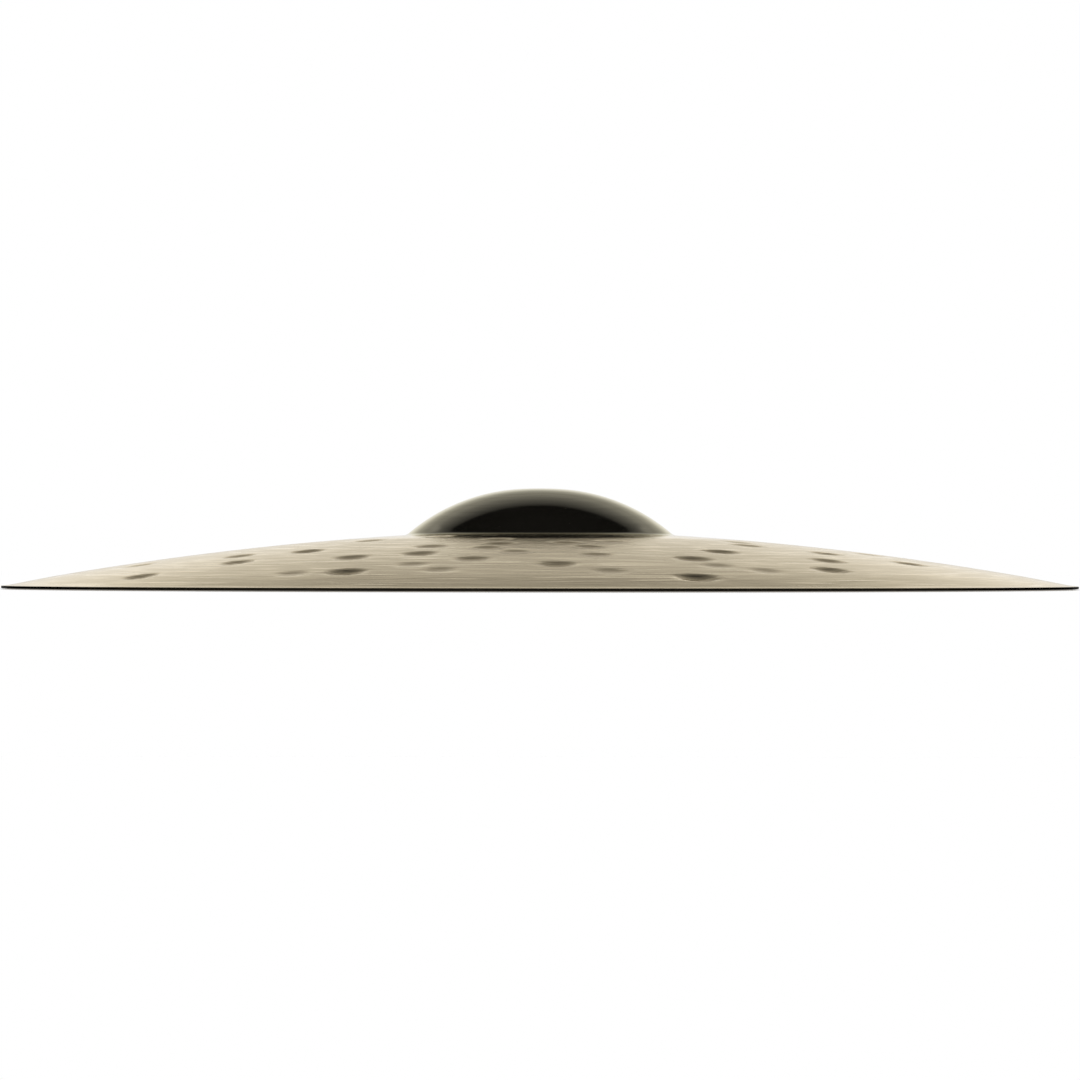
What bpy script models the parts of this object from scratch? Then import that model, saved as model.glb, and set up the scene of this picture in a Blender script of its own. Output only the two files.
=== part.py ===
"""A ride cymbal: one plate of cast and hammered bronze, turned about +Z and resting on its rim.

The origin is on the axis in the plane that the rim rests on. Heights are measured up from there.
The plate has three regions: a raised bell with a hole and a flat felt seat on both of its faces,
a gently falling bow, and a thin rounded rim. The bell meets the bow in a filleted crease.
"""

import math

import bpy

# Plan sizes, in metres
PLATE_DIAMETER = 0.508
BELL_DIAMETER = 0.1286
SEAT_DIAMETER = 0.018
HOLE_DIAMETER = 0.0127

# Heights and slopes, in metres and degrees
BELL_HEIGHT = 0.0224
BELL_SLOPE_AT_SEAT = 2.6
BOW_SLOPE_AT_BELL = 3.6
BOW_SLOPE_AT_RIM = 10.9

# Wall thickness, square to the top face, in metres
BELL_THICKNESS = 0.0015
RIM_THICKNESS = 0.0012

# Crease fillet, and the upright bands left between the roundings of the rim and of the hole
CREASE_FILLET_RADIUS = 0.005
RIM_BAND = 0.0005
HOLE_BAND = 0.0009

# Fineness of the turned shape
TURNED_STEPS = 88
BELL_SEGMENTS = 8
CREASE_SEGMENTS = 3
BOW_SEGMENTS = 8
EDGE_SEGMENTS = 2
MERGE_DISTANCE = 0.000001

# Finish of the bronze
BRONZE_COLOUR = (0.80, 0.70, 0.54, 1.0)
BRONZE_ROUGHNESS = 0.3

PLATE_RADIUS = PLATE_DIAMETER / 2
BELL_RADIUS = BELL_DIAMETER / 2
SEAT_RADIUS = SEAT_DIAMETER / 2
HOLE_RADIUS = HOLE_DIAMETER / 2


class Arc:
    """Part of a circle in the (radius, height) plane, from one tangent slope to another.

    The slope is how steeply the curve falls outwards, in radians. On the top face, bend is 1 for
    an arc that gets steeper outwards and -1 for one that gets flatter.
    """

    def __init__(self, centre, radius, bend, slope_in, slope_out):
        self.centre = centre
        self.radius = radius
        self.bend = bend
        self.slope_in = slope_in
        self.slope_out = slope_out

    def point(self, slope):
        """The point of the arc where it has this slope."""
        reach = self.bend * self.radius
        return (
            self.centre[0] + reach * math.sin(slope),
            self.centre[1] + reach * math.cos(slope),
        )

    def slopes(self, segments):
        """Slopes at evenly spaced points from the inner end to the outer one."""
        turn = self.slope_out - self.slope_in
        return [self.slope_in + turn * i / segments for i in range(segments + 1)]


def arc_ending_at(end, slope_out, slope_in, inner_radius):
    """The convex arc that reaches its outer end with slope_out and starts at inner_radius with slope_in."""
    width = end[0] - inner_radius
    radius = width / (math.sin(slope_out) - math.sin(slope_in))
    centre = (end[0] - radius * math.sin(slope_out), end[1] - radius * math.cos(slope_out))
    return Arc(centre, radius, 1, slope_in, slope_out)


def arc_between(start, slope_in, end):
    """The convex arc that leaves start with slope_in and passes through end."""
    chord_slope = math.atan2(start[1] - end[1], end[0] - start[0])
    slope_out = 2 * chord_slope - slope_in
    chord = math.dist(start, end)
    radius = chord / (2 * math.sin((slope_out - slope_in) / 2))
    centre = (start[0] - radius * math.sin(slope_in), start[1] - radius * math.cos(slope_in))
    return Arc(centre, radius, 1, slope_in, slope_out)


def fillet_between(inner, outer, radius):
    """The hollow arc above the corner of two convex arcs, tangent to both, which it shortens."""
    reach_in = inner.radius + radius
    reach_out = outer.radius + radius
    apart = math.dist(inner.centre, outer.centre)
    along = (apart**2 + reach_in**2 - reach_out**2) / (2 * apart)
    aside = math.sqrt(reach_in**2 - along**2)
    way = (
        (outer.centre[0] - inner.centre[0]) / apart,
        (outer.centre[1] - inner.centre[1]) / apart,
    )
    centre = (
        inner.centre[0] + along * way[0] - aside * way[1],
        inner.centre[1] + along * way[1] + aside * way[0],
    )
    inner.slope_out = math.atan2(centre[0] - inner.centre[0], centre[1] - inner.centre[1])
    outer.slope_in = math.atan2(centre[0] - outer.centre[0], centre[1] - outer.centre[1])
    return Arc(centre, radius, -1, inner.slope_out, outer.slope_in)


def rounded_corner(centre, radius, angle_from, angle_to):
    """Points round a corner, from one direction of its outward normal to another."""
    turn = angle_to - angle_from
    angles = [angle_from + turn * i / EDGE_SEGMENTS for i in range(EDGE_SEGMENTS + 1)]
    return [(centre[0] + radius * math.cos(a), centre[1] + radius * math.sin(a)) for a in angles]


def wall_at(radius):
    """Thickness of the plate: even over the bell, thinning over the bow to the rim."""
    over_bow = (radius - BELL_RADIUS) / (PLATE_RADIUS - BELL_RADIUS)
    share = min(max(over_bow, 0.0), 1.0)
    return BELL_THICKNESS + (RIM_THICKNESS - BELL_THICKNESS) * share


def rim_top_corner(slope, edge_radius):
    """Centre of the rim's upper rounding, placed so that the lower one rests on height zero."""
    wall_height = RIM_THICKNESS / math.cos(slope)
    lean = edge_radius * (1 / math.cos(slope) - math.tan(slope))
    lower_drop = edge_radius * (math.tan(slope) + 1 / math.cos(slope) - 1)
    return (PLATE_RADIUS - edge_radius, wall_height - lower_drop - lean)


def plate_profile():
    """The plate's closed section: out along the top face, down the rim, and back underneath."""
    rim_slope = math.radians(BOW_SLOPE_AT_RIM)
    rim_edge = (RIM_THICKNESS - RIM_BAND) / 2
    upper = rim_top_corner(rim_slope, rim_edge)
    bow_end = (
        upper[0] + rim_edge * math.sin(rim_slope),
        upper[1] + rim_edge * math.cos(rim_slope),
    )
    bow = arc_ending_at(bow_end, rim_slope, math.radians(BOW_SLOPE_AT_BELL), BELL_RADIUS)
    crease = bow.point(bow.slope_in)
    seat_height = crease[1] + BELL_HEIGHT
    bell = arc_between((SEAT_RADIUS, seat_height), math.radians(BELL_SLOPE_AT_SEAT), crease)
    fillet = fillet_between(bell, bow, CREASE_FILLET_RADIUS)

    top = [(SEAT_RADIUS, seat_height)]
    underside = [(SEAT_RADIUS - BELL_THICKNESS * math.sin(bell.slope_in), seat_height - BELL_THICKNESS)]
    for arc, segments in ((bell, BELL_SEGMENTS), (fillet, CREASE_SEGMENTS), (bow, BOW_SEGMENTS)):
        for slope in arc.slopes(segments)[1:]:
            radius, height = arc.point(slope)
            wall = wall_at(radius)
            top.append((radius, height))
            underside.append((radius - wall * math.sin(slope), height - wall * math.cos(slope)))

    upper_edge = rounded_corner(upper, rim_edge, math.pi / 2 - rim_slope, 0.0)
    lower = (upper[0], rim_edge)
    lower_edge = rounded_corner(lower, rim_edge, 0.0, -math.pi / 2)
    lower_edge.append(
        (lower[0] - rim_edge * math.sin(rim_slope), lower[1] - rim_edge * math.cos(rim_slope))
    )

    hole_edge = (BELL_THICKNESS - HOLE_BAND) / 2
    lip_radius = HOLE_RADIUS + hole_edge
    lower_lip_height = seat_height - BELL_THICKNESS + hole_edge
    upper_lip_height = seat_height - hole_edge
    lower_lip = rounded_corner((lip_radius, lower_lip_height), hole_edge, -math.pi / 2, -math.pi)
    upper_lip = rounded_corner((lip_radius, upper_lip_height), hole_edge, math.pi, math.pi / 2)

    return top + upper_edge[1:] + lower_edge + underside[::-1] + lower_lip + upper_lip


def bronze():
    """Pale bronze with a satin shine."""
    material = bpy.data.materials.new("bronze")
    material.use_nodes = True
    shader = material.node_tree.nodes["Principled BSDF"]
    shader.inputs["Base Color"].default_value = BRONZE_COLOUR
    shader.inputs["Metallic"].default_value = 1.0
    shader.inputs["Roughness"].default_value = BRONZE_ROUGHNESS
    material.diffuse_color = BRONZE_COLOUR
    return material


def turned_plate(name, profile, material, collection):
    """Turns a closed section about +Z into one solid."""
    mesh = bpy.data.meshes.new(name)
    corners = [(radius, 0.0, height) for radius, height in profile]
    sides = [(i, (i + 1) % len(corners)) for i in range(len(corners))]
    mesh.from_pydata(corners, sides, [])
    mesh.materials.append(material)
    plate = bpy.data.objects.new(name, mesh)
    collection.objects.link(plate)

    turning = plate.modifiers.new("turning", "SCREW")
    turning.axis = "Z"
    turning.angle = math.tau
    turning.steps = TURNED_STEPS
    turning.render_steps = TURNED_STEPS
    turning.use_merge_vertices = True
    turning.merge_threshold = MERGE_DISTANCE
    turning.use_smooth_shade = True
    return plate


def clear_scene():
    """Removes every object that the scene holds."""
    for old in list(bpy.data.objects):
        bpy.data.objects.remove(old, do_unlink=True)


def main():
    clear_scene()
    collection = bpy.data.collections.new("ride_cymbal")
    bpy.context.scene.collection.children.link(collection)
    turned_plate("cymbal_plate", plate_profile(), bronze(), collection)


main()
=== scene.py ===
"""The looks of a ride cymbal: one hammered and lathed bronze plate on a white studio floor.

Lengths are in metres and +Z is up. The plate is turned about the Z axis and rests on its rim at
height zero. The camera looks along +Y.
"""

import math

import bpy
import numpy as np
from bpy.props import FloatProperty, FloatVectorProperty, IntProperty, PointerProperty
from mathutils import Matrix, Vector


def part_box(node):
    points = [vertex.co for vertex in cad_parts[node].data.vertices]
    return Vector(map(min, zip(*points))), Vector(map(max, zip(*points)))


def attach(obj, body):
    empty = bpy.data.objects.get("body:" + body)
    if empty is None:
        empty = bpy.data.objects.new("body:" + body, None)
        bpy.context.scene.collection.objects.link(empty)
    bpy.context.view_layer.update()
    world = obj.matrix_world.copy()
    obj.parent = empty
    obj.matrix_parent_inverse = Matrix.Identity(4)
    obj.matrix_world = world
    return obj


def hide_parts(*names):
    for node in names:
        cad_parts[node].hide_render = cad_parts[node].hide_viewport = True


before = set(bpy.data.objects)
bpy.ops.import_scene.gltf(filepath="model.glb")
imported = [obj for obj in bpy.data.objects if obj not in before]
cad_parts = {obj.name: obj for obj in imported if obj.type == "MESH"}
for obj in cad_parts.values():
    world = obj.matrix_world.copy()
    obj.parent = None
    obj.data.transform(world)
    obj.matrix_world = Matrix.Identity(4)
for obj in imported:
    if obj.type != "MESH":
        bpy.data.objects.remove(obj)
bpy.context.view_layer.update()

bl_info = {
    "name": "Ride Cymbal",
    "version": (1, 0, 0),
    "blender": (4, 5, 0),
    "location": "View3D > Sidebar > Cymbal",
    "description": "Builds a hammered and lathed ride cymbal with its studio",
    "category": "Add Mesh",
}

PLATE_LOW, PLATE_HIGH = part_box("cymbal_plate")
PLATE_DIAMETER = PLATE_HIGH.x - PLATE_LOW.x

# The photograph's frame, in its own pixels
PHOTO_WIDTH = 1080
PHOTO_CENTRE = 540
HORIZON_ROW = 574.6

# Hammer marks that the photograph shows on the near half of the bow: column, row and depth share
MARKS_IN_PHOTO = (
    (142, 565, 0.7), (142, 576, 1.0), (240, 556, 0.8), (238, 562, 0.9), (308, 551, 1.0),
    (352, 557, 0.9), (347, 571, 1.2), (370, 540.5, 0.7), (420, 553, 0.9), (432, 546, 0.7),
    (472, 558, 0.8), (487, 547, 0.8), (500, 543, 1.0), (498, 539, 1.0), (443, 536, 0.7),
    (515, 551, 0.6), (557, 563, 0.9), (565, 542, 0.9), (588, 546, 0.8), (596, 554, 0.6),
    (612, 541, 0.6), (693, 558, 1.0), (697, 576, 1.3), (720, 551, 1.0), (747, 545, 0.7),
    (738, 542, 0.5), (825, 553, 0.8), (827, 560, 0.9), (830, 569, 1.0), (868, 554, 0.7),
    (908, 563, 0.9), (293, 573, 0.4), (412, 564, 0.4), (440, 569, 0.4), (610, 570, 0.4),
    (717, 565, 0.4), (765, 570, 0.4),
)

# Steps in which a sight line is followed over the plate
SIGHT_STEPS = 800

# Only a mark's far wall looks dark, so its centre lies this share of its radius nearer the camera
SHADED_PART = 0.3

# The shallowest mark is this share as wide as a full one
SHALLOW_MARK_WIDTH = 0.86

# Marks on the half turned away: seed and tries, bearings in degrees, shares of a full mark's width
# and depth, and distances from the bell and from each other in mark diameters
MARK_SEED = 20
MARK_TRIES = 4000
FAR_BEARINGS = (-8, 188)
FAR_WIDTHS = (0.86, 1.04)
FAR_DEPTHS = (0.55, 1.2)
FROM_BELL = 0.7
MARKS_APART = 1.15

# The share of a mark's depth that stands out underneath
MARK_UNDERNEATH = 0.8

# The lathe's ridges: seed, arcs round the plate, and the part of the noise that becomes a ridge
LATHE_SEED = 7
RIDGE_ARCS = 60
RIDGE_FLOOR = 0.3
RIDGE_GAIN = 1.6

# The slow swell under the ridges: arcs round the plate, lathe steps to a swell, and its share
SWELL_ARCS = 34
SWELL_STEPS = 3.7
SWELL_SHARE = 0.6

# Widths over which the ridges fade out at the rim and at the bell
RIM_FADE = 0.002
BELL_FADE = 0.004

# Where the turned-down ring inside the lip has faded out, in lip widths from the rim
LIP_REACH = 6

# Finishes of the section's rows, in the order of the mesh's materials
BOW, BELL, BACK, RIM = range(4)

# Fineness of the mesh: points round the axis, and rows along each stretch of the section
COLUMNS = 480
BELL_ROWS = 22
CREASE_ROWS = 6
BOW_ROWS = 104
BACK_BELL_ROWS = 10
BACK_BOW_ROWS = 26
CORNER_ROWS = 3

# Name under which the mesh holds how deep each point is hammered, as a share of a full mark
MARK_ATTRIBUTE = "hammered"

# Sockets of a Mix node that take and give colours
MIX_FIRST, MIX_SECOND, MIX_RESULT = 6, 7, 2

# Noise drawn out round the axis: cells a metre outwards, cells round, detail and roughness
FINE_GROOVES = (900.0, 60.0, 3.0, 0.6)
BROAD_GROOVES = (170.0, 46.0, 2.0, 0.55)
PROUD_STREAKS = (300.0, 34.0, 1.0, 0.4)
BELL_RINGS = (420.0, 12.0, 2.0, 0.5)
RIM_WEAR = (900.0, 240.0, 3.0, 0.6)

# How the three noises of the grooves are laid over each other
FINE_SHARE = 0.2
BROAD_SHARE = 0.6
PROUD_SHARE = 0.3
PROUD_FROM = (0.58, 0.72)

# What the grooves do: where they are dull, how their satin varies, and how deep they look
DULL_GROOVES = (0.36, 0.6)
SATIN_GROOVES = (0.3, 0.7)
SATIN_SPAN = (1.35, 0.75)
GROOVE_DEPTH = 0.0002

# Hammering from which a point has all of the marks' colour, which is unlathed bronze darkened partly
# as painted shade
FULL_MARK = 0.35

# The bow is smoother beside the bell, and fully lathed from the second of these radii
LATHED_FROM = (0.09, 0.105)
SMOOTH_SHARE = 0.4

# Bronze keeps its colour at a low angle, and its grooves spread the shine a quarter turn from them
GRAZING_BRONZE = (1.0, 0.92, 0.74)
GRAZING_BELL = (0.92, 0.90, 0.78)
ACROSS_THE_GROOVES = 0.25

# How strong the grooves are, and how far they spread the shine
BOW_GROOVES = 1.0
BOW_SPREAD = 0.7
BACK_GROOVES = 0.5
BACK_SPREAD = 0.5

# The underside beside the top: its grooves, its marks, darkened partly as painted shade, and its satin
BACK_CUT_SHADE = 0.8
BACK_MARK_SHADE = 0.9
BACK_ROUGHER = 1.3

# Faint rings on the bell: where their colour and their polish change, and by how much
RING_COLOURS = (0.35, 0.65)
RING_POLISH = (0.3, 0.7)
RING_SHADE = 0.9
RING_SPAN = (1.3, 0.8)

# The rim's satin, and where and how much its near-black bronze, painted shade for the dark that the
# rim reflects, is worn paler
RIM_ROUGHNESS = 0.35
WORN_FROM = (0.5, 0.75)
WORN_SHADE = 1.6

# How bright the studio's walls look in the bronze: upward part of a direction, and brightness
WALL_LEVELS = (
    (0.0, 0.56), (0.06, 0.66), (0.12, 0.7), (0.174, 0.68), (0.259, 0.56),
    (0.32, 0.41), (0.37, 0.3), (0.469, 0.19), (0.6, 0.18), (1.0, 0.3),
)
WALL_STRENGTH = 1.35

# The walls beside and behind the camera are at least this bright. FILL_FACING is the cosine of the
# turn away from straight ahead, first where this starts and then where it is full.
FILL_LEVEL = 0.42
FILL_FACING = (0.75, 0.45)

# The black flag overhead, by a direction's run over its rise: the far edge, which starts sharply
# and goes on softly down the wall ahead, the near edge and the half width
FLAG_SOFT_EDGE = (0.62, 1.75)
FLAG_SHARP_EDGE = (0.77, 0.86)
FLAG_NEAR_EDGE = (-0.6, -0.2)
FLAG_SIDES = (0.63, 0.7)
FLAG_DARKNESS = 0.985

# Keeps a division by a direction's upward or level part from a division by zero
LEAST_PART = 0.001

# The floor lies just under the rim, and glows by what its colour leaves out of white
FLOOR_DROP = 0.0004
FLOOR_GLOW = 0.2

# How far the camera sees
CAMERA_REACH = 200.0


class Arc:
    """Part of a circle in the (radius, height) plane, from one tangent slope to another.

    The slope is how steeply the curve falls outwards, in radians. On the top face, bend is 1 for
    an arc that gets steeper outwards and -1 for one that gets flatter.
    """

    def __init__(self, centre, radius, bend, slope_in, slope_out):
        self.centre = centre
        self.radius = radius
        self.bend = bend
        self.slope_in = slope_in
        self.slope_out = slope_out

    def point(self, slope):
        """The point of the arc where it has this slope."""
        reach = self.bend * self.radius
        return self.centre[0] + reach * math.sin(slope), self.centre[1] + reach * math.cos(slope)

    def slopes(self, steps):
        """Slopes at evenly spaced points from the inner end to the outer one."""
        turn = self.slope_out - self.slope_in
        return [self.slope_in + turn * i / steps for i in range(steps + 1)]


def arc_ending_at(end, slope_out, slope_in, inner_radius):
    """The convex arc that reaches end with slope_out and starts at inner_radius with slope_in."""
    radius = (end[0] - inner_radius) / (math.sin(slope_out) - math.sin(slope_in))
    centre = (end[0] - radius * math.sin(slope_out), end[1] - radius * math.cos(slope_out))
    return Arc(centre, radius, 1, slope_in, slope_out)


def arc_between(start, slope_in, end):
    """The convex arc that leaves start with slope_in and passes through end."""
    chord_slope = math.atan2(start[1] - end[1], end[0] - start[0])
    slope_out = 2 * chord_slope - slope_in
    radius = math.dist(start, end) / (2 * math.sin((slope_out - slope_in) / 2))
    centre = (start[0] - radius * math.sin(slope_in), start[1] - radius * math.cos(slope_in))
    return Arc(centre, radius, 1, slope_in, slope_out)


def fillet_between(inner, outer, radius):
    """The hollow arc above the corner of two convex arcs, tangent to both, which it shortens."""
    reach_in = inner.radius + radius
    reach_out = outer.radius + radius
    apart = math.dist(inner.centre, outer.centre)
    along = (apart**2 + reach_in**2 - reach_out**2) / (2 * apart)
    aside = math.sqrt(reach_in**2 - along**2)
    way = ((outer.centre[0] - inner.centre[0]) / apart, (outer.centre[1] - inner.centre[1]) / apart)
    centre = (
        inner.centre[0] + along * way[0] - aside * way[1],
        inner.centre[1] + along * way[1] + aside * way[0],
    )
    inner.slope_out = math.atan2(centre[0] - inner.centre[0], centre[1] - inner.centre[1])
    outer.slope_in = math.atan2(centre[0] - outer.centre[0], centre[1] - outer.centre[1])
    return Arc(centre, radius, -1, inner.slope_out, outer.slope_in)


class CymbalSizes(bpy.types.PropertyGroup):
    """Sizes of the turned plate and its marks."""

    diameter: FloatProperty(
        name="Diameter", description="Across the rim", default=PLATE_DIAMETER, unit="LENGTH"
    )
    bell_diameter: FloatProperty(
        name="Bell", description="Across the crease round the bell", default=0.1286, unit="LENGTH"
    )
    seat_diameter: FloatProperty(
        name="Felt seat", description="Across the flat ring on the bell", default=0.018, unit="LENGTH"
    )
    hole_diameter: FloatProperty(
        name="Hole", description="Across the stand's hole", default=0.0127, unit="LENGTH"
    )
    bell_height: FloatProperty(
        name="Bell height", description="From the crease to the seat", default=0.0224, unit="LENGTH"
    )
    seat_slope: FloatProperty(
        name="Slope at seat", description="Fall of the bell beside its seat",
        default=math.radians(2.6), subtype="ANGLE",
    )
    inner_slope: FloatProperty(
        name="Slope at bell", description="Fall of the bow beside the bell",
        default=math.radians(3.6), subtype="ANGLE",
    )
    rim_slope: FloatProperty(
        name="Slope at rim", description="Fall of the bow at the rim",
        default=math.radians(10.9), subtype="ANGLE",
    )
    bell_wall: FloatProperty(
        name="Bell wall", description="Thickness of the bell", default=0.0015, unit="LENGTH"
    )
    rim_wall: FloatProperty(
        name="Rim wall", description="Thickness of the rim", default=0.0012, unit="LENGTH"
    )
    crease_radius: FloatProperty(
        name="Crease", description="Radius of the crease fillet", default=0.005, unit="LENGTH"
    )
    rim_band: FloatProperty(
        name="Rim band", description="Upright band left on the rim", default=0.0005, unit="LENGTH"
    )
    hole_band: FloatProperty(
        name="Hole band", description="Upright band left in the hole", default=0.0009, unit="LENGTH"
    )
    mark_diameter: FloatProperty(
        name="Hammer mark", description="Across one hammer mark", default=0.0165, unit="LENGTH"
    )
    mark_depth: FloatProperty(
        name="Mark depth", description="Depth of a full hammer mark", default=0.0011, unit="LENGTH"
    )
    far_marks: IntProperty(
        name="Far marks", description="Hammer marks on the half turned away", default=46
    )
    lathe_step: FloatProperty(
        name="Lathe step", description="From one ridge of the lathe to the next", default=0.0038,
        unit="LENGTH",
    )
    lathe_depth: FloatProperty(
        name="Ridge height", description="Height of the lathe's ridges", default=0.00003, unit="LENGTH"
    )
    lip_width: FloatProperty(
        name="Lip", description="Lip between the rim and its turned-down ring", default=0.004,
        unit="LENGTH",
    )
    lip_drop: FloatProperty(
        name="Lip drop", description="Depth of the turned-down ring inside the lip",
        default=0.0003, unit="LENGTH",
    )


class CymbalFinish(bpy.types.PropertyGroup):
    """Colours and polish of the bronze."""

    bow_colour: FloatVectorProperty(
        name="Bow", description="Lathed bronze of the bow", default=(0.80, 0.71, 0.56),
        subtype="COLOR", min=0, max=1,
    )
    # The marks' darker colour is partly unlathed bronze and partly painted shade in the hollows
    mark_colour_and_painted_shade: FloatVectorProperty(
        name="Marks", description="Unlathed bronze in the hammer marks", default=(0.50, 0.43, 0.32),
        subtype="COLOR", min=0, max=1,
    )
    bow_cut_colour: FloatVectorProperty(
        name="Cuts", description="Duller bronze in the grooves", default=(0.70, 0.62, 0.48),
        subtype="COLOR", min=0, max=1,
    )
    bell_colour: FloatVectorProperty(
        name="Bell", description="Smooth bronze of the bell", default=(0.75, 0.70, 0.57),
        subtype="COLOR", min=0, max=1,
    )
    underside_colour: FloatVectorProperty(
        name="Underside", description="Lathed bronze underneath", default=(0.74, 0.64, 0.47),
        subtype="COLOR", min=0, max=1,
    )
    # The rim's near-black colour is painted shade, standing in for the dark that the cut rim reflects
    painted_shade_edge_colour: FloatVectorProperty(
        name="Edge", description="Darkened bronze of the cut rim", default=(0.012, 0.01, 0.007),
        subtype="COLOR", min=0, max=1,
    )
    bow_roughness: FloatProperty(
        name="Bow roughness", description="Satin of the bow", default=0.14, min=0, max=1
    )
    bell_roughness: FloatProperty(
        name="Bell roughness", description="Polish of the bell", default=0.07, min=0, max=1
    )


class CymbalStudio(bpy.types.PropertyGroup):
    """Camera and floor."""

    camera_distance: FloatProperty(
        name="Distance", description="From the camera to the axis", default=1.27, unit="LENGTH"
    )
    camera_height: FloatProperty(
        name="Height", description="Camera above the plane that the rim rests on", default=0.0065,
        unit="LENGTH",
    )
    lens: FloatProperty(name="Lens", description="Focal length in millimetres", default=88.0)
    sensor: FloatProperty(name="Sensor", description="Sensor width in millimetres", default=36.0)
    roll: FloatProperty(
        name="Roll", description="Lean of the camera", default=-0.001, subtype="ANGLE"
    )
    floor_size: FloatProperty(
        name="Floor", description="Across the floor", default=60.0, unit="LENGTH"
    )
    floor_colour: FloatVectorProperty(
        name="Floor colour", description="Pale floor", default=(0.8, 0.8, 0.8), subtype="COLOR",
        min=0, max=1,
    )


def wall_at(sizes, radius):
    """Thickness of the plate: even over the bell, thinning over the bow to the rim."""
    bell_radius = sizes.bell_diameter / 2
    share = (radius - bell_radius) / (sizes.diameter / 2 - bell_radius)
    return sizes.bell_wall + (sizes.rim_wall - sizes.bell_wall) * min(max(share, 0.0), 1.0)


def rim_top_corner(sizes, edge_radius):
    """Centre of the rim's upper rounding, placed so that the lower one rests on height zero."""
    slope = sizes.rim_slope
    lower_drop = edge_radius * (math.tan(slope) + 1 / math.cos(slope) - 1)
    lean = edge_radius * (1 / math.cos(slope) - math.tan(slope))
    height = sizes.rim_wall / math.cos(slope) - lower_drop - lean
    return sizes.diameter / 2 - edge_radius, height


def plate_arcs(sizes, rim_corner, edge_radius):
    """The height of the felt seat, and the top face's arcs: the bell, the crease and the bow."""
    slope = sizes.rim_slope
    bow_end = (
        rim_corner[0] + edge_radius * math.sin(slope),
        rim_corner[1] + edge_radius * math.cos(slope),
    )
    bow = arc_ending_at(bow_end, slope, sizes.inner_slope, sizes.bell_diameter / 2)
    crease_point = bow.point(bow.slope_in)
    seat_height = crease_point[1] + sizes.bell_height
    bell = arc_between((sizes.seat_diameter / 2, seat_height), sizes.seat_slope, crease_point)
    crease = fillet_between(bell, bow, sizes.crease_radius)
    return seat_height, bell, crease, bow


def top_rows(arc, steps, finish):
    """Rows on the top face along an arc, after its inner end."""
    return [
        (*arc.point(slope), math.sin(slope), math.cos(slope), finish)
        for slope in arc.slopes(steps)[1:]
    ]


def under_rows(sizes, arc, steps):
    """Rows underneath an arc, one wall's thickness below its top face, after its inner end."""
    rows = []
    for slope in arc.slopes(steps)[1:]:
        radius, height = arc.point(slope)
        wall = wall_at(sizes, radius)
        out, up = math.sin(slope), math.cos(slope)
        rows.append((radius - wall * out, height - wall * up, -out, -up, BACK))
    return rows


def corner_rows(centre, radius, angle_from, angle_to, steps, finish):
    """Rows round a corner, from one direction of its outward normal to another."""
    rows = []
    for i in range(steps + 1):
        angle = angle_from + (angle_to - angle_from) * i / steps
        out, up = math.cos(angle), math.sin(angle)
        rows.append((centre[0] + radius * out, centre[1] + radius * up, out, up, finish))
    return rows


def plate_section(sizes):
    """The plate's closed section as rows, and the arc of its bow.

    A row is (radius, height, normal's part outwards, normal's part upwards, finish). The rows run
    out along the top face, down the rim and back underneath to the hole.
    """
    rim_edge = (sizes.rim_wall - sizes.rim_band) / 2
    upper = rim_top_corner(sizes, rim_edge)
    lower = (upper[0], rim_edge)
    seat_height, bell, crease, bow = plate_arcs(sizes, upper, rim_edge)
    seat_radius = sizes.seat_diameter / 2
    upwards, inwards, downwards = math.pi / 2, -math.pi, -math.pi / 2
    slope = sizes.rim_slope

    top = [(seat_radius, seat_height, 0.0, 1.0, BELL)]
    top += top_rows(bell, BELL_ROWS, BELL)
    top += top_rows(crease, CREASE_ROWS, BELL)
    top += top_rows(bow, BOW_ROWS, BOW)

    rim = corner_rows(upper, rim_edge, upwards - slope, 0.0, CORNER_ROWS, RIM)[1:]
    rim += corner_rows(lower, rim_edge, 0.0, downwards - slope, CORNER_ROWS + 1, RIM)

    seat_under = seat_height - sizes.bell_wall
    under_radius = seat_radius - sizes.bell_wall * math.sin(bell.slope_in)
    under = [(under_radius, seat_under, 0.0, -1.0, BACK)]
    under += under_rows(sizes, bell, BACK_BELL_ROWS)
    under += under_rows(sizes, crease, CREASE_ROWS)
    under += under_rows(sizes, bow, BACK_BOW_ROWS)[:-1]

    lip = (sizes.bell_wall - sizes.hole_band) / 2
    lip_radius = sizes.hole_diameter / 2 + lip
    hole = corner_rows((lip_radius, seat_under + lip), lip, downwards, inwards, CORNER_ROWS, BELL)
    hole += corner_rows((lip_radius, seat_height - lip), lip, -inwards, upwards, CORNER_ROWS, BELL)
    return top + rim + under[::-1] + hole, bow


def bow_height(bow, radius):
    """Height of the bow's top face at a radius."""
    return bow.centre[1] + math.sqrt(max(bow.radius**2 - (radius - bow.centre[0]) ** 2, 0))


def ray_to_bow(studio, bow, column, row):
    """Where the sight line through a pixel of the photograph meets the near half of the bow."""
    pixels_per_metre = studio.lens / studio.sensor * PHOTO_WIDTH
    direction = Vector(
        ((column - PHOTO_CENTRE) / pixels_per_metre, 1.0, (HORIZON_ROW - row) / pixels_per_metre)
    )
    eye = Vector((0.0, -studio.camera_distance, studio.camera_height))
    outer = bow.point(bow.slope_out)[0]
    near, far = studio.camera_distance - outer, studio.camera_distance
    for i in range(SIGHT_STEPS):
        place = eye + direction * (near + (far - near) * i / SIGHT_STEPS)
        radius = math.hypot(place.x, place.y)
        if radius <= outer and place.z <= bow_height(bow, radius):
            return place.x, place.y
    return None


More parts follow.
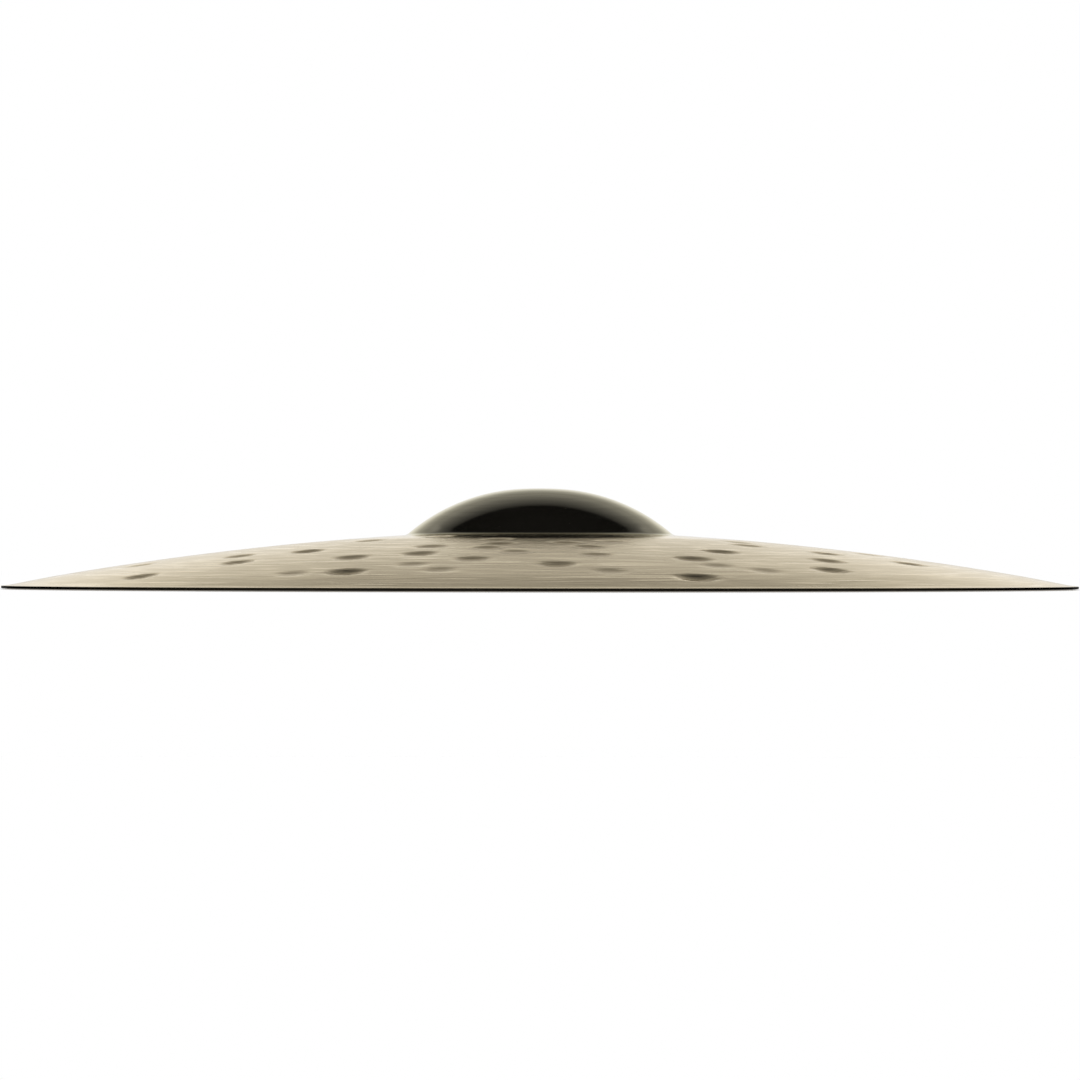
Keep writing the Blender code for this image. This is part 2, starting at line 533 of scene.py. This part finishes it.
def marks_in_photo(sizes, studio, bow):
    """Marks on the near half, where the photograph shows them: x, y, radius and depth."""
    marks = []
    for column, row, share in MARKS_IN_PHOTO:
        place = ray_to_bow(studio, bow, column, row)
        if place:
            reach = sizes.mark_diameter / 2 * (SHALLOW_MARK_WIDTH + (1 - SHALLOW_MARK_WIDTH) * share)
            marks.append((place[0], place[1] - reach * SHADED_PART, reach, sizes.mark_depth * share))
    return marks


def marks_behind(sizes, near_marks):
    """Seeded marks on the half turned away, clear of each other and of the near ones."""
    chance = np.random.default_rng(MARK_SEED)
    marks = list(near_marks)
    inner = sizes.bell_diameter / 2 + sizes.mark_diameter * FROM_BELL
    outer = sizes.diameter / 2 - sizes.mark_diameter
    for _ in range(MARK_TRIES):
        if len(marks) >= len(near_marks) + sizes.far_marks:
            break
        radius = math.sqrt(chance.uniform(inner**2, outer**2))
        bearing = chance.uniform(*(math.radians(angle) for angle in FAR_BEARINGS))
        x, y = radius * math.cos(bearing), radius * math.sin(bearing)
        apart = min(math.hypot(x - mark[0], y - mark[1]) for mark in marks)
        if apart > sizes.mark_diameter * MARKS_APART:
            reach = sizes.mark_diameter / 2 * chance.uniform(*FAR_WIDTHS)
            marks.append((x, y, reach, sizes.mark_depth * chance.uniform(*FAR_DEPTHS)))
    return marks[len(near_marks):]


def mark_dents(marks, x, y):
    """How deep the plate is hammered at each point: every mark is a shallow bowl."""
    dents = np.zeros_like(x)
    for mark_x, mark_y, reach, depth in marks:
        away = np.hypot(x - mark_x, y - mark_y) / reach
        dents = np.maximum(dents, depth * np.clip(1 - away**2, 0, None))
    return dents


def eased(share):
    """A share from 0 to 1 with a soft start and end."""
    return share * share * (3 - 2 * share)


def ring_noise(chance, radii, angles, step, cells):
    """Smooth noise over rings: one value each step along the radius, broken into arcs round it."""
    place = radii / step
    row = np.floor(place).astype(int)
    turn = angles / math.tau * cells
    grid = chance.uniform(-1, 1, (row.max() + 2, cells))
    shift = chance.uniform(0, cells, row.max() + 2)

    def along(ring):
        where = turn + shift[ring]
        cell = np.floor(where).astype(int)
        part = eased(where - cell)
        return grid[ring, cell % cells] * (1 - part) + grid[ring, (cell + 1) % cells] * part

    share = eased(place - row)
    return along(row) * (1 - share) + along(row + 1) * share


def lathe_ridges(sizes, radius, turn):
    """How proud the lathe's ridges stand: they start and stop round the plate, over a slow swell."""
    chance = np.random.default_rng(LATHE_SEED)
    cuts = ring_noise(chance, radius, turn, sizes.lathe_step, RIDGE_ARCS)
    swell = ring_noise(chance, radius, turn, sizes.lathe_step * SWELL_STEPS, SWELL_ARCS)
    ridges = np.clip(cuts - RIDGE_FLOOR, 0, None) * RIDGE_GAIN
    fade = np.clip((sizes.diameter / 2 - radius) / RIM_FADE, 0, 1)
    fade = fade * np.clip((radius - sizes.bell_diameter / 2) / BELL_FADE, 0, 1)
    return (ridges + SWELL_SHARE * swell) * sizes.lathe_depth * fade


def lip_depth(sizes, radius):
    """How deep the ring inside the lip is turned down, fading out over the bow."""
    from_rim = (sizes.diameter / 2 - radius) / sizes.lip_width
    fade = np.clip((LIP_REACH - from_rim) / (LIP_REACH - 1), 0, 1)
    return sizes.lip_drop * np.clip(from_rim, 0, 1) * fade


def finish_between(first, second):
    """The finish of the faces between two rows of the section."""
    for finish in (BACK, RIM):
        if finish in (first, second):
            return finish
    return first


def plate_faces(finishes):
    """The four-sided faces from each row to the next round the section, and their finishes."""
    faces = []
    slots = []
    for i, finish in enumerate(finishes):
        after = (i + 1) % len(finishes)
        for j in range(COLUMNS):
            k = (j + 1) % COLUMNS
            faces.append((i * COLUMNS + j, after * COLUMNS + j, after * COLUMNS + k, i * COLUMNS + k))
        slots += [finish_between(finish, finishes[after])] * COLUMNS
    return faces, slots


def plate_mesh(sizes, studio):
    """The hammered and lathed plate as one closed mesh, with its hammering at each point."""
    rows, bow = plate_section(sizes)
    finishes = [row[-1] for row in rows]
    profile = np.array([row[:-1] for row in rows])
    radius, height, normal_out, normal_up = (
        np.repeat(profile[:, i:i + 1], COLUMNS, axis=1) for i in range(profile.shape[1])
    )
    angles = np.arange(COLUMNS) * math.tau / COLUMNS
    turn = np.repeat(angles[None, :], len(rows), axis=0)

    near_marks = marks_in_photo(sizes, studio, bow)
    marks = near_marks + marks_behind(sizes, near_marks)
    dents = mark_dents(marks, radius * np.cos(turn), radius * np.sin(turn))
    on_bow = np.array([finish == BOW for finish in finishes])[:, None]
    on_back = np.array([finish == BACK for finish in finishes])[:, None]
    past_crease = radius > sizes.bell_diameter / 2
    cut = dents - lathe_ridges(sizes, radius, turn) + lip_depth(sizes, radius)
    sunk = np.where(on_bow, cut, 0.0)
    sunk = np.where(on_back & past_crease, -dents * MARK_UNDERNEATH, sunk)
    radius = radius - sunk * normal_out
    height = height - sunk * normal_up

    points = np.stack((radius * np.cos(turn), radius * np.sin(turn), height), axis=-1)
    faces, slots = plate_faces(finishes)
    mesh = bpy.data.meshes.new("cymbal")
    mesh.from_pydata(points.reshape(-1, 3).tolist(), [], faces)
    mesh.polygons.foreach_set("material_index", slots)
    hammered = mesh.attributes.new(MARK_ATTRIBUTE, "FLOAT", "POINT")
    hammered.data.foreach_set("value", (dents / sizes.mark_depth).ravel().astype(np.float32))
    mesh.shade_smooth()
    mesh.validate()
    mesh.update()
    return mesh


class Wiring:
    """Adds and joins the nodes of one material or world."""

    def __init__(self, tree):
        self.tree = tree

    def add(self, kind, **values):
        """A new node with these settings."""
        node = self.tree.nodes.new(kind)
        for name, value in values.items():
            setattr(node, name, value)
        return node

    def feed(self, value, socket):
        """Joins another socket to this one, or sets it to a plain value."""
        if isinstance(value, bpy.types.NodeSocket):
            self.tree.links.new(value, socket)
        else:
            socket.default_value = value

    def math(self, operation, *values):
        """The result of a Math node."""
        node = self.add("ShaderNodeMath", operation=operation)
        for value, socket in zip(values, node.inputs):
            self.feed(value, socket)
        return node.outputs[0]

    def ramp(self, value, low, high, to_low=0.0, to_high=1.0):
        """A value taken softly from one range to another, and held at its ends."""
        node = self.add("ShaderNodeMapRange", interpolation_type="SMOOTHSTEP")
        self.feed(value, node.inputs["Value"])
        self.feed(low, node.inputs["From Min"])
        self.feed(high, node.inputs["From Max"])
        self.feed(to_low, node.inputs["To Min"])
        self.feed(to_high, node.inputs["To Max"])
        return node.outputs["Result"]

    def split(self, vector):
        """The three parts of a vector."""
        node = self.add("ShaderNodeSeparateXYZ")
        self.feed(vector, node.inputs["Vector"])
        return node.outputs["X"], node.outputs["Y"], node.outputs["Z"]


def polar_place(wiring):
    """A point's place on the plate: the two parts of its bearing from the axis, and its radius."""
    x, y, _ = wiring.split(wiring.add("ShaderNodeTexCoord").outputs["Object"])
    squares = wiring.math("ADD", wiring.math("MULTIPLY", x, x), wiring.math("MULTIPLY", y, y))
    radius = wiring.math("SQRT", squares)
    return wiring.math("DIVIDE", x, radius), wiring.math("DIVIDE", y, radius), radius


def turned_noise(wiring, place, grain):
    """Noise drawn out round the axis, like the marks of turning."""
    rings, arcs, detail, roughness = grain
    across, along, radius = place
    drawn_out = wiring.add("ShaderNodeCombineXYZ")
    wiring.feed(wiring.math("MULTIPLY", across, arcs / math.tau), drawn_out.inputs["X"])
    wiring.feed(wiring.math("MULTIPLY", along, arcs / math.tau), drawn_out.inputs["Y"])
    wiring.feed(wiring.math("MULTIPLY", radius, rings), drawn_out.inputs["Z"])
    node = wiring.add("ShaderNodeTexNoise", noise_dimensions="3D")
    wiring.feed(drawn_out.outputs[0], node.inputs["Vector"])
    wiring.feed(1.0, node.inputs["Scale"])
    wiring.feed(detail, node.inputs["Detail"])
    wiring.feed(roughness, node.inputs["Roughness"])
    return node.outputs["Fac"]


def blend_colours(wiring, share, first, second):
    """The first colour where the share is 0, and the second where it is 1."""
    node = wiring.add("ShaderNodeMix", data_type="RGBA")
    wiring.feed(share, node.inputs["Factor"])
    wiring.feed(first, node.inputs[MIX_FIRST])
    wiring.feed(second, node.inputs[MIX_SECOND])
    return node.outputs[MIX_RESULT]


def solid(colour):
    """A colour with full cover, as sockets take it."""
    return (*colour, 1.0)


def scaled(values, share):
    """A colour made darker or paler, or a span made narrower or wider, by one share."""
    return tuple(value * share for value in values)


def new_metal(name, roughness, colour, grazing_tint):
    """A metal of one colour: its material, its shader and the wiring of its nodes."""
    material = bpy.data.materials.new(name)
    material.use_nodes = True
    material.diffuse_color = solid(colour)
    shader = material.node_tree.nodes["Principled BSDF"]
    shader.inputs["Metallic"].default_value = 1.0
    shader.inputs["Roughness"].default_value = roughness
    shader.inputs["Base Color"].default_value = solid(colour)
    shader.inputs["Specular Tint"].default_value = solid(grazing_tint)
    return material, shader, Wiring(material.node_tree)


def groove_pattern(wiring, place):
    """Fine and broad grooves with some proud streaks, low where the lathe cut deep."""
    fine = wiring.math("MULTIPLY", turned_noise(wiring, place, FINE_GROOVES), FINE_SHARE)
    broad = wiring.math("MULTIPLY", turned_noise(wiring, place, BROAD_GROOVES), BROAD_SHARE)
    streaks = wiring.ramp(turned_noise(wiring, place, PROUD_STREAKS), *PROUD_FROM)
    proud = wiring.math("MULTIPLY", streaks, PROUD_SHARE)
    return wiring.math("ADD", wiring.math("ADD", fine, broad), proud)


def lathed_metal(name, colour, cut_colour, mark_colour_and_painted_shade, roughness, groove_strength, spread):
    """Bronze cut by the lathe in fine rings that start and stop, and unlathed in its marks, which are
    darker partly as painted shade.
    """
    material, shader, wiring = new_metal(name, roughness, colour, GRAZING_BRONZE)
    place = polar_place(wiring)
    grooves = groove_pattern(wiring, place)

    dull = wiring.ramp(grooves, *DULL_GROOVES, 1.0, 0.0)
    bronze = blend_colours(wiring, dull, solid(colour), solid(cut_colour))
    # Darker colour in the hammer marks: partly unlathed bronze, partly painted shade
    hammered = wiring.add("ShaderNodeAttribute", attribute_name=MARK_ATTRIBUTE).outputs["Fac"]
    marks_and_painted_shade = blend_colours(wiring, wiring.ramp(hammered, 0.0, FULL_MARK), bronze, solid(mark_colour_and_painted_shade))
    wiring.feed(marks_and_painted_shade, shader.inputs["Base Color"])

    satin = wiring.ramp(grooves, *SATIN_GROOVES, *scaled(SATIN_SPAN, roughness))
    lathed = wiring.ramp(place[-1], *LATHED_FROM, SMOOTH_SHARE, 1.0)
    wiring.feed(wiring.math("MULTIPLY", satin, lathed), shader.inputs["Roughness"])

    shader.inputs["Anisotropic"].default_value = spread
    shader.inputs["Anisotropic Rotation"].default_value = ACROSS_THE_GROOVES
    tangent = wiring.add("ShaderNodeTangent", direction_type="RADIAL", axis="Z")
    wiring.feed(tangent.outputs[0], shader.inputs["Tangent"])

    bump = wiring.add("ShaderNodeBump")
    wiring.feed(groove_strength, bump.inputs["Strength"])
    wiring.feed(GROOVE_DEPTH, bump.inputs["Distance"])
    wiring.feed(grooves, bump.inputs["Height"])
    wiring.feed(bump.outputs[0], shader.inputs["Normal"])
    return material


def polished_metal(name, colour, roughness):
    """Smooth bronze of the bell, with faint turning rings and a little haze."""
    material, shader, wiring = new_metal(name, roughness, colour, GRAZING_BELL)
    rings = turned_noise(wiring, polar_place(wiring), BELL_RINGS)
    share = wiring.ramp(rings, *RING_COLOURS)
    ringed = blend_colours(wiring, share, solid(scaled(colour, RING_SHADE)), solid(colour))
    wiring.feed(ringed, shader.inputs["Base Color"])
    haze = wiring.ramp(rings, *RING_POLISH, *scaled(RING_SPAN, roughness))
    wiring.feed(haze, shader.inputs["Roughness"])
    return material


def painted_shade_edge_metal(name, colour):
    """Bronze on the cut rim painted near-black as painted shade for the dark that it reflects, and
    worn paler in places.
    """
    material, shader, wiring = new_metal(name, RIM_ROUGHNESS, colour, colour)
    share = wiring.ramp(turned_noise(wiring, polar_place(wiring), RIM_WEAR), *WORN_FROM)
    worn = blend_colours(wiring, share, solid(colour), solid(scaled(colour, WORN_SHADE)))
    wiring.feed(worn, shader.inputs["Base Color"])
    return material


def bow_bronze(finish):
    """The lathed bronze of the bow."""
    return lathed_metal(
        "lathed_bronze", finish.bow_colour, finish.bow_cut_colour, finish.mark_colour_and_painted_shade,
        finish.bow_roughness, BOW_GROOVES, BOW_SPREAD,
    )


def underside_bronze(finish):
    """The lathed bronze underneath, which is duller and less deeply cut."""
    colour = finish.underside_colour
    return lathed_metal(
        "underside_bronze", colour, scaled(colour, BACK_CUT_SHADE), scaled(colour, BACK_MARK_SHADE),
        finish.bow_roughness * BACK_ROUGHER, BACK_GROOVES, BACK_SPREAD,
    )


class CYMBAL_OT_plate(bpy.types.Operator):
    """Builds the plate: bell, bow and rim in one piece of bronze."""

    bl_idname = "cymbal.plate"
    bl_label = "Build plate"

    def execute(self, context):
        scene = context.scene
        finish = scene.cymbal_finish
        mesh = plate_mesh(scene.cymbal_sizes, scene.cymbal_studio)
        mesh.materials.append(bow_bronze(finish))
        mesh.materials.append(polished_metal("bell_bronze", finish.bell_colour, finish.bell_roughness))
        mesh.materials.append(underside_bronze(finish))
        # The rim's material is near-black: painted shade for the dark that the rim reflects
        mesh.materials.append(painted_shade_edge_metal("rim_bronze_painted_shade", finish.painted_shade_edge_colour))
        plate = bpy.data.objects.new("cymbal", mesh)
        scene.collection.objects.link(plate)
        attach(plate, "root")
        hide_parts("cymbal_plate")
        return {"FINISHED"}


def ray_is(wiring, *kinds):
    """1 for rays of any of these kinds, as Light Path names them."""
    path = wiring.add("ShaderNodeLightPath")
    found = path.outputs[kinds[0]]
    for kind in kinds[1:]:
        found = wiring.math("MAXIMUM", found, path.outputs[kind])
    return found


def wall_brightness(wiring, upward):
    """Pale walls that darken upwards."""
    walls = wiring.add("ShaderNodeValToRGB")
    ramp = walls.color_ramp
    ramp.interpolation = "LINEAR"
    while len(ramp.elements) < len(WALL_LEVELS):
        ramp.elements.new(0.5)
    for element, (place, level) in zip(ramp.elements, WALL_LEVELS):
        element.position = place
        element.color = (level, level, level, 1.0)
    wiring.feed(upward, walls.inputs[0])
    return walls.outputs[0]


def fill_brightness(wiring, ahead, upward):
    """An even grey on the walls beside and behind the camera."""
    squared = wiring.math("SUBTRACT", 1.0, wiring.math("MULTIPLY", upward, upward))
    level_part = wiring.math("MAXIMUM", wiring.math("SQRT", squared), LEAST_PART)
    facing = wiring.math("DIVIDE", ahead, level_part)
    return wiring.math("MULTIPLY", wiring.ramp(facing, *FILL_FACING), FILL_LEVEL)


def past_the_flag(wiring, aside, ahead, upward):
    """What the black flag overhead lets through: nearly nothing where it hangs, and 1 round it."""
    rise = wiring.math("MAXIMUM", upward, LEAST_PART)
    ahead_run = wiring.math("DIVIDE", ahead, rise)
    aside_run = wiring.math("ABSOLUTE", wiring.math("DIVIDE", aside, rise))
    soft = wiring.ramp(ahead_run, *FLAG_SOFT_EDGE)
    sharp = wiring.ramp(ahead_run, *FLAG_SHARP_EDGE)
    flag = wiring.math("SUBTRACT", 1.0, wiring.math("MULTIPLY", soft, sharp))
    flag = wiring.math("MULTIPLY", flag, wiring.ramp(ahead_run, *FLAG_NEAR_EDGE))
    flag = wiring.math("MULTIPLY", flag, wiring.ramp(aside_run, *FLAG_SIDES, 1.0, 0.0))
    return wiring.math("SUBTRACT", 1.0, wiring.math("MULTIPLY", flag, FLAG_DARKNESS))


def studio_world(scene):
    """White all round for the eye, and for shine pale walls that darken upwards to a black flag."""
    world = bpy.data.worlds.new("studio")
    world.use_nodes = True
    scene.world = world
    tree = world.node_tree
    tree.nodes.clear()
    wiring = Wiring(tree)
    aside, ahead, upward = wiring.split(wiring.add("ShaderNodeTexCoord").outputs["Generated"])
    walls = wall_brightness(wiring, upward)
    room = wiring.math("MAXIMUM", walls, fill_brightness(wiring, ahead, upward))
    lit = wiring.math("MULTIPLY", room, past_the_flag(wiring, aside, ahead, upward))
    shine = wiring.math("MULTIPLY", lit, WALL_STRENGTH)

    for_shine = ray_is(wiring, "Is Glossy Ray", "Is Transmission Ray")
    for_the_eye = wiring.math("SUBTRACT", 1.0, for_shine)
    strength = wiring.math("ADD", wiring.math("MULTIPLY", for_shine, shine), for_the_eye)
    background = wiring.add("ShaderNodeBackground")
    wiring.feed((1.0, 1.0, 1.0, 1.0), background.inputs["Color"])
    wiring.feed(strength, background.inputs["Strength"])
    output = wiring.add("ShaderNodeOutputWorld")
    wiring.feed(background.outputs[0], output.inputs["Surface"])


def floor_paper(studio):
    """Pale paper that takes a shadow, and is white for the eye and for shine."""
    material = bpy.data.materials.new("floor_paper")
    material.use_nodes = True
    tree = material.node_tree
    tree.nodes.clear()
    wiring = Wiring(tree)
    paper = wiring.add("ShaderNodeBsdfDiffuse")
    wiring.feed(solid(studio.floor_colour), paper.inputs["Color"])
    glow = wiring.add("ShaderNodeEmission")
    seen = ray_is(wiring, "Is Camera Ray", "Is Glossy Ray", "Is Transmission Ray")
    wiring.feed(wiring.math("MULTIPLY", seen, FLOOR_GLOW), glow.inputs["Strength"])
    both = wiring.add("ShaderNodeAddShader")
    wiring.feed(paper.outputs[0], both.inputs[0])
    wiring.feed(glow.outputs[0], both.inputs[1])
    output = wiring.add("ShaderNodeOutputMaterial")
    wiring.feed(both.outputs[0], output.inputs["Surface"])
    return material


def white_floor(scene, studio):
    """A wide floor just under the rim."""
    half = studio.floor_size / 2
    corners = [(-half, -half, 0), (half, -half, 0), (half, half, 0), (-half, half, 0)]
    mesh = bpy.data.meshes.new("floor")
    mesh.from_pydata(corners, [], [(0, 1, 2, 3)])
    mesh.materials.append(floor_paper(studio))
    floor = bpy.data.objects.new("floor", mesh)
    floor.location.z = -FLOOR_DROP
    scene.collection.objects.link(floor)


def side_camera(scene, studio):
    """The photograph's camera: level with the rim, far back, tipped up a little."""
    data = bpy.data.cameras.new("side_camera")
    data.lens = studio.lens
    data.sensor_width = studio.sensor
    data.clip_end = CAMERA_REACH
    camera = bpy.data.objects.new("side_camera", data)
    focal_pixels = studio.lens / studio.sensor * PHOTO_WIDTH
    pitch = math.atan((HORIZON_ROW - PHOTO_CENTRE) / focal_pixels)
    camera.location = (0.0, -studio.camera_distance, studio.camera_height)
    camera.rotation_euler = (math.pi / 2 + pitch, studio.roll, 0.0)
    scene.collection.objects.link(camera)
    scene.camera = camera


class CYMBAL_OT_stage(bpy.types.Operator):
    """Builds the floor, the studio's light and the camera."""

    bl_idname = "cymbal.stage"
    bl_label = "Build stage"

    def execute(self, context):
        scene = context.scene
        studio_world(scene)
        white_floor(scene, scene.cymbal_studio)
        side_camera(scene, scene.cymbal_studio)
        scene.view_settings.view_transform = "Standard"
        return {"FINISHED"}


class CYMBAL_PT_panel(bpy.types.Panel):
    """Sizes, finish and studio of the cymbal, and the operators that build it."""

    bl_idname = "CYMBAL_PT_panel"
    bl_label = "Ride Cymbal"
    bl_space_type = "VIEW_3D"
    bl_region_type = "UI"
    bl_category = "Cymbal"

    def draw(self, context):
        layout = self.layout
        scene = context.scene
        for group in (scene.cymbal_sizes, scene.cymbal_finish, scene.cymbal_studio):
            box = layout.box()
            for name in group.__annotations__:
                box.prop(group, name)
        layout.operator(CYMBAL_OT_plate.bl_idname)
        layout.operator(CYMBAL_OT_stage.bl_idname)


CLASSES = (
    CymbalSizes, CymbalFinish, CymbalStudio, CYMBAL_OT_plate, CYMBAL_OT_stage, CYMBAL_PT_panel
)


def register():
    for cls in CLASSES:
        bpy.utils.register_class(cls)
    bpy.types.Scene.cymbal_sizes = PointerProperty(type=CymbalSizes)
    bpy.types.Scene.cymbal_finish = PointerProperty(type=CymbalFinish)
    bpy.types.Scene.cymbal_studio = PointerProperty(type=CymbalStudio)


def unregister():
    del bpy.types.Scene.cymbal_studio
    del bpy.types.Scene.cymbal_finish
    del bpy.types.Scene.cymbal_sizes
    for cls in reversed(CLASSES):
        bpy.utils.unregister_class(cls)


def main():
    register()
    bpy.ops.cymbal.stage()
    bpy.ops.cymbal.plate()


if __name__ == "__main__":
    main()
